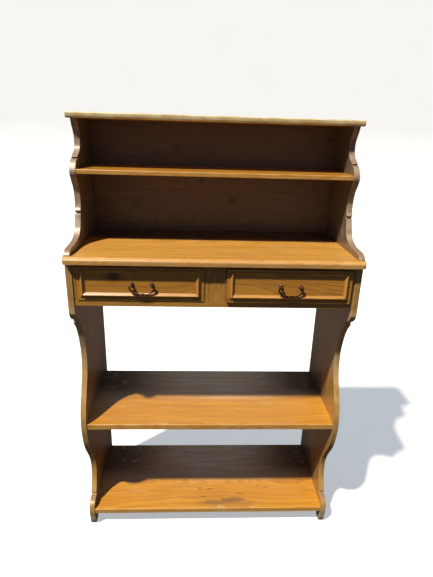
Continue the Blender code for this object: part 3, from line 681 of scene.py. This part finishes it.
def edge_wear(n, tones, facing, shifted, colour):
    """Paler narrow faces, arrises brightened by wear and a painted highlight, and darker end grain.
    """
    along, _, through = facing
    narrow = n.step(through, *NARROW_FACES, 1.0, 0.0)
    share = n.times(n.step(n.grain(shifted, "arris"), *ARRIS_PATCHES), tones["wear"])
    colour = n.mix(n.times(narrow, share), colour, tones["worn"])
    # Arrises brightened beyond the worn tone: wear, and a painted highlight along them
    low, full, fading, none = ARRIS_FACES
    arris = n.times(n.step(through, low, full), n.step(through, fading, none, 1.0, 0.0))
    worn_highlight = tuple(min(ARRIS_WORN_HIGHLIGHT_LIMIT, ARRIS_WORN_HIGHLIGHT * value) for value in tones["worn"])
    colour = n.mix(n.times(arris, share), colour, worn_highlight)
    return n.mix(n.times(n.step(along, *END_FACES), END_SHARE), colour, tones["end"])


# Dirt, marks and painted light and shade of single boards: each takes the colour of the clean wood
# and returns the marked one


def shaded_across(n, parts, shifted, colour, tones, depths, share):
    """Painted shade that thickens across the grain, from one place to another."""
    place = n.math("ADD", parts[1], n.swing(n.grain(shifted, "shade_rag"), SHADE_RAGGED))
    return n.mix(n.times(n.step(place, *depths), share), colour, tones["dirt_and_shade"])


def worktop_shade(n, parts, shifted, colour, tones):
    """Painted shade that darkens the back of the worktop."""
    return shaded_across(n, parts, shifted, colour, tones, WORKTOP_DEPTHS, WORKTOP_SHADE_SHARE)


def upright_shade(n, parts, shifted, colour, tones):
    """Painted shade deep inside an upper side; its outer face is tinted warmer, out of the shaded
    tones.
    """
    colour = shaded_across(n, parts, shifted, colour, tones, UPRIGHT_DEPTHS, UPRIGHT_SHADE_SHARE)
    warm = n.mix(1.0, colour, UPRIGHT_OUTER_TINT, "MULTIPLY")
    return n.mix(n.step(n.size(parts[2]), *OUTER_FACE), colour, warm)


def side_light_and_dust(n, parts, shifted, colour, tones):
    """A painted glow high inside a lower side, painted shade in its corners above the shelves, and a
    dusty foot.
    """
    along, across, through = parts
    ragged = n.grain(shifted, "side_rag")
    inside = n.step(n.size(through), *OUTER_FACE, 1.0, 0.0)
    place = n.math("ADD", along, n.swing(ragged, SIDE_RAGGED))
    deep = n.times(n.step(across, *SIDE_DEPTHS), inside)
    # A pale haze high on the inside, painted in for bounced light and sheen
    high = n.times(n.step(place, *SIDE_GLOW_HEIGHTS), n.step(along, *SIDE_GLOW_TOP, 1.0, 0.0))
    colour = n.mix(n.times(high, inside, ragged, SIDE_GLOW_SHARE), colour, SIDE_GLOW_COLOUR)
    # Corners above the shelves darkened: painted shade
    for shelf in CORNER_HEIGHTS:
        above = n.step(place, shelf + CORNER_REACH[0], shelf + CORNER_REACH[1], 1.0, 0.0)
        corner = n.times(above, n.step(along, shelf - CORNER_LIP, shelf), deep, CORNER_SHARE)
        colour = n.mix(corner, colour, tones["dirt_and_shade"])
    return n.mix(n.step(place, *FOOT_HEIGHTS, FOOT_SHARE, 0.0), colour, FOOT_COLOUR)


def shelf_shade_and_scuffs(n, parts, shifted, colour, tones):
    """Painted shade at a shelf's back ends; pale scuffs and painted sheen in its middle."""
    along, across, _ = parts
    deep = n.step(across, *SHELF_DEPTHS)
    off_middle = n.size(n.math("SUBTRACT", along, SHELF_MIDDLE))
    middle = n.step(off_middle, *SHELF_MIDDLE_HALF, 1.0, 0.0)
    # The ends towards the back are darkened: painted shade
    ends = n.times(n.step(n.size(along), *SHELF_ENDS), deep)
    colour = n.mix(n.times(ends, SHELF_END_SHADE_SHARE), colour, tones["dirt_and_shade"])
    sockets = {"Coat Weight": SHELF_COAT, "Specular IOR Level": SHELF_SPECULAR}
    for socket, (clean, change) in sockets.items():
        n.put(n.shader.inputs[socket], n.math("MULTIPLY_ADD", ends, change, clean))
    # Pale patches in the middle towards the back: scuffs, and painted sheen
    scuffs_and_sheen = n.math("MULTIPLY_ADD", n.cut(n.grain(shifted, "scuff"), "scuff"), *SCUFF_AND_SHEEN_SHARES)
    colour = n.mix(n.times(scuffs_and_sheen, middle, deep), colour, SCUFF_AND_SHEEN_COLOUR)
    swirled = n.times(n.cut(n.grain(shifted, "swirl"), "swirl"), deep, SWIRL_SHARE)
    return n.mix(swirled, colour, SWIRL_COLOUR)


def blotch(n, place, centre, size, ragged):
    """How much of a ragged oval blotch lies at a place: 1 in its middle and 0 outside it."""
    offset = n.vector("SUBTRACT", place, (*centre, 0.0))
    reach = n.vector("LENGTH", n.vector("DIVIDE", offset, (*size, 1.0)))
    reach = n.math("ADD", reach, n.swing(ragged, BLOTCH_RAGGED))
    return n.step(reach, 1.0 - BLOTCH_EDGE, 1.0 + BLOTCH_EDGE, 1.0, 0.0)


def shelf_marks(n, parts, shifted, colour, tones):
    """A shelf's painted shade, sheen and scuffs, a dark water stain by its front, a few dents and
    chips in its edge.
    """
    colour = shelf_shade_and_scuffs(n, parts, shifted, colour, tones)
    along, across, _ = parts
    flat = n.combine(along, across, 0.0)
    ragged = n.grain(shifted, "spill")
    for centre, size, share in STAINS:
        colour = n.mix(n.times(blotch(n, flat, centre, size, ragged), share), colour, STAIN_COLOUR)
    for centre, size in DENTS:
        dent = n.times(blotch(n, flat, centre, size, ragged), DENT_SHARE)
        colour = n.mix(dent, colour, DENT_COLOUR)
    broken = n.cut(n.grain(shifted, "chip"), "chip")
    for centre, size in CHIPS:
        chip = n.times(blotch(n, flat, centre, size, ragged), broken, CHIP_SHARE)
        colour = n.mix(chip, colour, CHIP_COLOUR)
    return colour


# Metal

BRONZE_DARK = (0.060, 0.028, 0.024)
BRONZE_BRIGHT = (0.70, 0.40, 0.31)
BRONZE_DIRT = (0.018, 0.010, 0.010)
BRONZE_PROUD_SHARE = 0.30
BRONZE_GLOSS = (0.35, 0.70, 0.32, 0.60)  # the tarnish from and to, and the roughness that it gives
BRONZE_PITS = (0.0002, 0.5)  # height and strength
ZINC_DARK = (0.36, 0.35, 0.33)
ZINC_PALE = (0.55, 0.54, 0.51)
ZINC_RUST = (0.19, 0.085, 0.035)
ZINC_GLOSS = (0.3, 0.7, 0.35, 0.60)
ZINC_PITS = (0.0001, 0.4)


def antique_bronze():
    """Dark bronze lacquer, rubbed through to copper on what stands out."""
    n = Nodes("antique_bronze_worn")
    place = n.add("TexCoord").outputs["Object"]
    tarnish = n.grain(place, "tarnish")
    curved = n.add("NewGeometry").outputs["Pointiness"]
    proud = n.times(n.cut(curved, "proud_metal"), BRONZE_PROUD_SHARE)
    rubbed = n.cut(n.grain(place, "rubbed_metal"), "rubbed_metal")
    share = n.math("ADD", rubbed, proud, clamp=True)
    colour = n.mix(share, BRONZE_DARK, BRONZE_BRIGHT)
    colour = n.mix(n.cut(tarnish, "tarnish"), colour, BRONZE_DIRT)
    n.put(n.shader.inputs["Base Color"], colour)
    n.shader.inputs["Metallic"].default_value = 1.0
    n.put(n.shader.inputs["Roughness"], n.step(tarnish, *BRONZE_GLOSS))
    n.put(n.shader.inputs["Normal"], n.bump(tarnish, *BRONZE_PITS))
    return n.material


def dull_zinc():
    """Zinc that has gone cloudy, with spots of rust."""
    n = Nodes("dull_zinc")
    place = n.add("TexCoord").outputs["Object"]
    cloudy = n.grain(place, "cloudy_zinc")
    rust = n.cut(n.grain(place, "rust"), "rust")
    colour = n.mix(cloudy, ZINC_DARK, ZINC_PALE)
    n.put(n.shader.inputs["Base Color"], n.mix(rust, colour, ZINC_RUST))
    n.shader.inputs["Metallic"].default_value = 1.0
    n.put(n.shader.inputs["Roughness"], n.step(cloudy, *ZINC_GLOSS))
    n.put(n.shader.inputs["Normal"], n.bump(cloudy, *ZINC_PITS))
    return n.material


# Boards

# How the arrises of each kind of board differ from the usual
EDGES = {
    "plain": {},
    "shelf": {"least": 0.010},
    "worktop": {"least": 0.004},
    "side": {"depth": 0.0009},
    "back": {"least": 0.009},
    "stile": {"width": 0.0006, "least": 0.009},
    "runner": {"width": 0.0006, "least": 0.008},
    "moulding": {"width": 0.0004, "least": 0.003, "depth": 0.0003},
    "box": {"width": 0.0008, "least": 0.005},
}


def span_across(face, edge):
    """How far a face reaches from one of its edges."""
    start, end = (vertex.co for vertex in edge.verts)
    along = (end - start).normalized()
    reach = 0.0
    for vertex in face.verts:
        offset = vertex.co - start
        reach = max(reach, (offset - offset.dot(along) * along).length)
    return reach


def arrises(shape, least):
    """Edges that stand out between faces which both reach at least that far from them."""
    found = []
    for edge in shape.edges:
        if len(edge.link_faces) != 2 or not edge.is_convex:
            continue
        if edge.calc_face_angle(0.0) < ARRIS_ANGLE:
            continue
        if min(span_across(face, edge) for face in edge.link_faces) >= least:
            found.append(edge)
    return found


def clean_solid(node):
    """The node's solid as a bmesh with its triangles joined into flat faces."""
    shape = bmesh.new()
    shape.from_mesh(frame["nodes"][node].data)
    bmesh.ops.remove_doubles(shape, verts=shape.verts, dist=WELD)
    edges = shape.edges
    bmesh.ops.dissolve_limit(shape, angle_limit=FLAT_ANGLE, verts=shape.verts, edges=edges)
    bmesh.ops.recalc_face_normals(shape, faces=shape.faces)
    return shape


def round_arrises(shape, width, least):
    """Rounds the arrises and marks the points between their two borders."""
    mark = shape.verts.layers.float.new("arris")
    made = bmesh.ops.bevel(
        shape,
        geom=arrises(shape, least),
        offset=width,
        offset_type="OFFSET",
        segments=ARRIS_SEGMENTS,
        profile=0.5,
        affect="EDGES",
        clamp_overlap=True,
    )
    strips = set(made["faces"])
    for vertex in made["verts"]:
        if vertex.is_valid and all(face in strips for face in vertex.link_faces):
            vertex[mark] = 1.0
    return mark


def sliced(shape, axis, spacing):
    """Cuts the faces into runs along an axis, so that an arris can wear unevenly."""
    low = min(vertex.co[axis] for vertex in shape.verts)
    high = max(vertex.co[axis] for vertex in shape.verts)
    across = Vector((0.0, 0.0, 0.0))
    across[axis] = 1.0
    count = int((high - low) / spacing)
    for index in range(1, count):
        place = low + (high - low) * index / count
        bmesh.ops.bisect_plane(
            shape,
            geom=[*shape.verts, *shape.edges, *shape.faces],
            dist=WELD / 2,
            plane_co=across * place,
            plane_no=across,
        )


def wear_down(shape, mark, seed, depth):
    """Presses the marked points in by patches."""
    shape.normal_update()
    moves = []
    for vertex in shape.verts:
        if vertex[mark] > 0.5:
            patch = noise.noise(vertex.co * WEAR_PATCHES + Vector((seed, 0.0, 0.0)))
            nick = noise.noise(vertex.co * NICKS + Vector((0.0, seed, 0.0))) - NICK_LEAST
            sink = max(0.0, WEAR_EVEN + patch) + NICK_DEPTH * max(0.0, nick)
            moves.append((vertex, vertex.normal * (depth * sink)))
    for vertex, move in moves:
        vertex.co -= move


def finish_piece(name, shape, node, material):
    """Makes the object that stands for a CAD node, and lets it ride on that node's body."""
    mesh = bpy.data.meshes.new(name)
    shape.to_mesh(mesh)
    shape.free()
    mesh.polygons.foreach_set("use_smooth", [True] * len(mesh.polygons))
    mesh.materials.append(material)
    piece = bpy.data.objects.new(name, mesh)
    bpy.context.scene.collection.objects.link(piece)
    piece.modifiers.new("even_shading", "WEIGHTED_NORMAL")
    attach(piece, frame["nodes"][node]["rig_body"])
    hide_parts(node)


def worn_board(node, axis, seed, width=ARRIS, least=ARRIS_LEAST, depth=WEAR_DEPTH):
    """The node's solid with rounded and worn arrises. axis is the one along the grain."""
    shape = clean_solid(node)
    mark = round_arrises(shape, width, least)
    sliced(shape, "xyz".index(axis), SLICE)
    wear_down(shape, mark, seed, depth)
    return shape


def pine_board(node, look, axes, seed, pith, edges="plain", knots=(), stain=None):
    """Makes the board that stands for a CAD node. pine() says what the other values are."""
    material = pine(f"pine_{node}", look, axes, seed, pith, knots, stain)
    shape = worn_board(node, axes[0], seed, **EDGES[edges])
    finish_piece(f"{node}_worn", shape, node, material)


# Handles


def close_skin(shape, rings):
    """Joins rings of points, each as long as the next, into a closed surface with flat ends."""
    for first, second in zip(rings, rings[1:]):
        for index in range(len(first)):
            after = (index + 1) % len(first)
            shape.faces.new((first[index], first[after], second[after], second[index]))
    shape.faces.new(rings[0])
    shape.faces.new(rings[-1])
    bmesh.ops.recalc_face_normals(shape, faces=shape.faces)


def lathe(profile, centre):
    """A closed turned shape whose axis runs along Y, out of the front. The profile is radii and
    heights above its foot, from the tip inwards, and centre is the middle of its foot."""
    shape = bmesh.new()
    rings = []
    for radius, height in profile:
        ring = []
        for index in range(TURNED_SIDES):
            turn = 2 * math.pi * index / TURNED_SIDES
            side = Vector((math.cos(turn), 0.0, math.sin(turn)))
            ring.append(shape.verts.new(centre + side * radius - Vector((0.0, height, 0.0))))
        rings.append(ring)
    close_skin(shape, rings)
    return shape


def smooth_run(points, steps):
    """Points along a smooth curve through the given ones, which hold any number of values."""
    ends = (points[0], *points, points[-1])
    run = []
    for index in range(1, len(ends) - 2):
        before, start, end, after = (Vector(point) for point in ends[index - 1 : index + 3])
        for step in range(steps):
            t = step / steps
            bend = (end - before) * 0.5 * (t - 2 * t * t + t ** 3)
            lean = (after - start) * 0.5 * (t ** 3 - t * t)
            way = 3 * t * t - 2 * t ** 3
            run.append(start * (1 - way) + end * way + bend + lean)
    run.append(Vector(points[-1]))
    return run


def swept(route, centre):
    """A closed tube along a route in the plane of the front: out, down and radius."""
    shape = bmesh.new()
    rings = []
    for index, (out, down, radius) in enumerate(route):
        before, after = route[max(index - 1, 0)], route[min(index + 1, len(route) - 1)]
        along = Vector((after[0] - before[0], 0.0, after[1] - before[1])).normalized()
        across = Vector((along.z, 0.0, -along.x))
        ring = []
        for place in range(BAIL_SIDES):
            turn = 2 * math.pi * place / BAIL_SIDES
            side = across * math.cos(turn) + Vector((0.0, 1.0, 0.0)) * math.sin(turn)
            ring.append(shape.verts.new(centre + Vector((out, 0.0, down)) + side * radius))
        rings.append(ring)
    close_skin(shape, rings)
    return shape


def post_profile(rise, foot):
    """Radius and height of a post from its ball to its shank. rise is the height of the ball's
    middle above the front, and foot how deep the shank goes."""
    ball = []
    for step in range(POST_BALL_STEPS + 1):
        turn = math.pi / 2 - (math.pi / 2 + POST_BALL_END) * step / POST_BALL_STEPS
        radius = max(POST_BALL * math.cos(turn), POINT)
        ball.append((radius, rise + POST_BALL * math.sin(turn)))
    shank = ((POST_SHANK, POST_FOOT), (POST_SHANK, -foot))
    return [*ball, *POST_NECK, *POST_ROSE, *POST_PLATE, *shank]


def add_posts(side, bronze):
    """The two turned posts of a handle."""
    for end in ("left", "right"):
        node = f"handle_{side}_post_{end}"
        low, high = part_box(node)
        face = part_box(f"drawer_{side}_front")[0].y
        rise = face - low.y - POST_BALL
        centre = Vector(((low.x + high.x) / 2, face, (low.z + high.z) / 2))
        shape = lathe(post_profile(rise, high.y - face), centre)
        finish_piece(f"{node}_turned", shape, node, bronze)


def add_bail(side, bronze):
    """The forged grip, whose pins turn in the middles of the posts' balls."""
    node = f"handle_{side}_bail"
    low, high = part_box(node)
    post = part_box(f"handle_{side}_post_left")[0]
    centre = Vector(((low.x + high.x) / 2, post.y + POST_BALL, post.z + POST_REACH))
    half = smooth_run(BAIL_HALF, BAIL_STEPS)
    route = [(-out, down, radius) for out, down, radius in half[:-1]]
    route += [tuple(point) for point in reversed(half)]
    finish_piece(f"{node}_forged", swept(route, centre), node, bronze)


# Stage and light


def add_floor():
    """A pale floor that curves up into a backdrop."""
    shape = bmesh.new()
    profile = [(FLOOR_FRONT, 0.0)]
    for step in range(FLOOR_STEPS + 1):
        turn = math.pi / 2 * step / FLOOR_STEPS
        height = FLOOR_BEND - FLOOR_BEND * math.cos(turn)
        profile.append((FLOOR_BACK - FLOOR_BEND + FLOOR_BEND * math.sin(turn), height))
    profile.append((FLOOR_BACK, FLOOR_RISE))
    sides = (-FLOOR_HALF, FLOOR_HALF)
    rows = [[shape.verts.new((x, y, z)) for x in sides] for y, z in profile]
    for first, second in zip(rows, rows[1:]):
        shape.faces.new((first[0], first[1], second[1], second[0]))
    mesh = bpy.data.meshes.new("studio_floor")
    shape.to_mesh(mesh)
    shape.free()
    mesh.polygons.foreach_set("use_smooth", [True] * len(mesh.polygons))
    floor = bpy.data.objects.new("studio_floor", mesh)
    bpy.context.scene.collection.objects.link(floor)
    n = Nodes("pale_floor")
    place = n.add("TexCoord").outputs["Object"]
    tone = n.noise(place, FLOOR_CLOUDS, detail=3.0).outputs[0]
    n.put(n.shader.inputs["Base Color"], n.mix(tone, *FLOOR_TONES))
    n.shader.inputs["Roughness"].default_value = FLOOR_ROUGHNESS
    n.shader.inputs["Emission Color"].default_value = FLOOR_GLOW_COLOUR
    n.shader.inputs["Emission Strength"].default_value = FLOOR_GLOW
    mesh.materials.append(n.material)
    floor.visible_diffuse = False
    floor.visible_glossy = False


def add_sun():
    light = bpy.data.lights.new("key", "SUN")
    light.energy = SUN_STRENGTH
    light.angle = SUN_ANGLE
    light.color = SUN_COLOUR
    sun = bpy.data.objects.new("key", light)
    sun.rotation_euler = SUN_DIRECTION.to_track_quat("-Z", "Y").to_euler()
    bpy.context.scene.collection.objects.link(sun)


def add_sky():
    """A gradient from the ground to the zenith, brighter behind the stand than in front, with a
    lit part of the backdrop that the shaded shelves mirror."""
    world = bpy.data.worlds.new("soft_studio")
    world.use_nodes = True
    tree = world.node_tree
    link = tree.links.new
    towards = tree.nodes.new("ShaderNodeTexCoord").outputs["Generated"]
    split = tree.nodes.new("ShaderNodeSeparateXYZ")
    link(towards, split.inputs[0])

    height = tree.nodes.new("ShaderNodeMath")
    height.operation = "MULTIPLY_ADD"
    height.inputs[1].default_value = 0.5
    height.inputs[2].default_value = 0.5
    link(split.outputs["Z"], height.inputs[0])
    ramp = tree.nodes.new("ShaderNodeValToRGB")
    elements = ramp.color_ramp.elements
    while len(elements) < len(SKY_COLOURS):
        elements.new(0.5)
    for element, (level, colour) in zip(elements, SKY_COLOURS):
        element.position = level
        element.color = (*colour, 1.0)
    link(height.outputs[0], ramp.inputs[0])

    middle = tree.nodes.new("ShaderNodeVectorMath")
    middle.operation = "DOT_PRODUCT"
    middle.inputs[1].default_value = BACKDROP_TOWARDS.normalized()
    link(towards, middle.inputs[0])
    lit = sky_share(tree, middle.outputs["Value"], (BACKDROP_EDGE, 1.0), (0.0, 1.0))
    glow = tree.nodes.new("ShaderNodeMath")
    glow.operation = "MULTIPLY_ADD"
    glow.inputs[1].default_value = BACKDROP_GLOW
    link(lit, glow.inputs[0])
    link(sky_share(tree, split.outputs["Y"], SKY_TURN, (1.0, SKY_BEHIND)), glow.inputs[2])

    tinted = tree.nodes.new("ShaderNodeMix")
    tinted.data_type = "RGBA"
    colours = [socket for socket in tinted.inputs if socket.type == "RGBA"]
    colours[1].default_value = (*BACKDROP_COLOUR, 1.0)
    link(lit, tinted.inputs["Factor"])
    link(ramp.outputs["Color"], colours[0])
    background = tree.nodes["Background"]
    mixed = next(socket for socket in tinted.outputs if socket.type == "RGBA")
    link(mixed, background.inputs["Color"])
    link(glow.outputs[0], background.inputs["Strength"])
    bpy.context.scene.world = world


def sky_share(tree, value, limits, results):
    """Goes smoothly from one result to the other as the value passes the limits."""
    made = tree.nodes.new("ShaderNodeMapRange")
    made.interpolation_type = "SMOOTHSTEP"
    for socket, given in zip(made.inputs[1:5], (*limits, *results)):
        socket.default_value = given
    tree.links.new(value, made.inputs[0])
    return made.outputs[0]


def add_camera():
    data = bpy.data.cameras.new("camera")
    data.lens = CAMERA_LENS
    camera = bpy.data.objects.new("camera", data)
    forward = Vector(
        (
            math.sin(CAMERA_YAW) * math.cos(CAMERA_PITCH),
            math.cos(CAMERA_YAW) * math.cos(CAMERA_PITCH),
            math.sin(CAMERA_PITCH),
        )
    )
    level = Vector((math.cos(CAMERA_YAW), -math.sin(CAMERA_YAW), 0.0))
    upright = level.cross(forward)
    right = level * math.cos(CAMERA_ROLL) + upright * math.sin(CAMERA_ROLL)
    up = upright * math.cos(CAMERA_ROLL) - level * math.sin(CAMERA_ROLL)
    turned = Matrix((right, up, -forward)).transposed().to_4x4()
    camera.matrix_world = Matrix.Translation(CAMERA_PLACE) @ turned
    bpy.context.scene.collection.objects.link(camera)
    bpy.context.scene.camera = camera


# The stand

# The piths of the logs, across the grain and through the board
SHELF_PITHS = {
    "top_board": (0.02, 1.49),
    "upper_shelf": (0.16, 1.29),
    "middle_shelf": (0.05, 0.40),
    "bottom_shelf": (-0.02, 0.0),
    "worktop": (0.03, 1.05),
}
SIDE_PITH = (0.08, 0.53)
BACK_PITH = (1.18, 0.28)
BACK_STEP = 0.12
FRIEZE_RAIL_PITHS = {"bottom": (0.93, -0.28), "top": (1.13, -0.28)}
FRIEZE_STILE_PITHS = {"left": (-0.45, -0.24), "centre": (0.0, -0.24), "right": (0.45, -0.24)}
CASE_RAIL_PITH = (1.0, 0.12)
RUNNER_PITHS = {"left": (-0.40, 0.90), "centre": (0.0, 0.90), "right": (0.40, 0.90)}
FRONT_PITH = (1.0, -0.10)
MOULDING_PITH = (0.05, -0.30)  # across from the strip's middle, and through
BOX_PITH = (1.0, 0.1)
BOX_BOTTOM_PITH = (0.0, 0.9)
DOWEL_PITH = (0.0, 0.1)

# Knots: place along the grain and across it, and radius
BACK_KNOTS = {
    "lower": ((-0.296, 1.239, 0.010), (0.072, 1.255, 0.009), (0.065, 1.19, 0.004)),
    "middle": ((-0.05, 1.33, 0.006), (0.33, 1.34, 0.008)),
    "upper": ((-0.212, 1.426, 0.011), (-0.137, 1.450, 0.009), (0.432, 1.490, 0.009)),
}
FRONT_KNOTS = {"left": ((-0.326, 1.067, 0.012),), "right": ()}

# Seeds of the drawers' grain: the first one, from drawer to drawer, and the dowels'
DRAWER_SEEDS = 30
DRAWER_SEED_STEP = 10
DOWEL_SEED = 60


def add_shelves(seeds):
    """The boards that lie flat, from the top board down, and the worktop."""
    kinds = {
        "top_board": ("cap", "shelf", None),
        "upper_shelf": ("honey", "shelf", None),
        "middle_shelf": ("honey", "shelf", shelf_shade_and_scuffs),
        "bottom_shelf": ("honey", "shelf", shelf_marks),
        "worktop": ("worktop", "worktop", worktop_shade),
    }
    for node, (look, edges, stain) in kinds.items():
        pine_board(node, look, "xyz", next(seeds), SHELF_PITHS[node], edges, stain=stain)


def add_sides(seeds):
    for side, sign in (("left", -1), ("right", 1)):
        pith = (SIDE_PITH[0], SIDE_PITH[1] * sign)
        for part, look, stain in (("lower", "side", side_light_and_dust), ("upper", "upright", upright_shade)):
            node = f"{part}_side_{side}"
            pine_board(node, look, "zyx", next(seeds), pith, "side", stain=stain)


def add_back(seeds):
    for index, (part, knots) in enumerate(BACK_KNOTS.items()):
        pith = (BACK_PITH[0] + BACK_STEP * index, BACK_PITH[1])
        pine_board(f"back_board_{part}", "back", "xzy", next(seeds), pith, "back", knots)


def add_case(seeds):
    """The frieze, the rail behind it, and what the drawers run on."""
    for part, pith in FRIEZE_RAIL_PITHS.items():
        pine_board(f"frieze_{part}_rail", "frieze", "xzy", next(seeds), pith)
    for part, pith in FRIEZE_STILE_PITHS.items():
        pine_board(f"frieze_stile_{part}", "frieze", "zxy", next(seeds), pith, "stile")
    pine_board("case_back_rail", "raw", "xzy", next(seeds), CASE_RAIL_PITH)
    for part, pith in RUNNER_PITHS.items():
        for kind in ("runner", "kicker", "guide"):
            pine_board(f"drawer_{kind}_{part}", "raw", "yxz", next(seeds), pith, "runner")


def add_drawer(side, seeds):
    name = f"drawer_{side}"
    knots = FRONT_KNOTS[side]
    pine_board(f"{name}_front", "front", "xzy", next(seeds), FRONT_PITH, knots=knots)
    for edge in ("bottom", "top", "left", "right"):
        node = f"{name}_moulding_{edge}"
        axes = "xzy" if edge in ("bottom", "top") else "zxy"
        middle = (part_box(node)[0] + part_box(node)[1]) / 2
        across = middle["xyz".index(axes[1])]
        pith = (across + MOULDING_PITH[0], MOULDING_PITH[1])
        pine_board(node, "front", axes, next(seeds), pith, "moulding")
    for part, axes in (("side_left", "yzx"), ("side_right", "yzx"), ("back", "xzy")):
        pine_board(f"{name}_{part}", "raw", axes, next(seeds), BOX_PITH, "box")
    pine_board(f"{name}_bottom", "raw", "xyz", next(seeds), BOX_BOTTOM_PITH, "box")


def dress_nodes():
    """Gives the CAD nodes that are shown as they are their materials."""
    zinc = dull_zinc()
    dowel = pine("pine_dowel", "raw", "zxy", DOWEL_SEED, DOWEL_PITH)
    for name, node in frame["nodes"].items():
        if not node.hide_render:
            node.data.materials[0] = zinc if "nut" in name else dowel


def build_stand():
    seeds = itertools.count(1)
    for add in (add_shelves, add_sides, add_back, add_case):
        add(seeds)
    bronze = antique_bronze()
    for index, side in enumerate(("left", "right")):
        add_drawer(side, itertools.count(DRAWER_SEEDS + DRAWER_SEED_STEP * index))
        add_posts(side, bronze)
        add_bail(side, bronze)
    dress_nodes()


bpy.context.scene.view_settings.view_transform = "Standard"
add_camera()
add_floor()
add_sun()
add_sky()
build_stand()
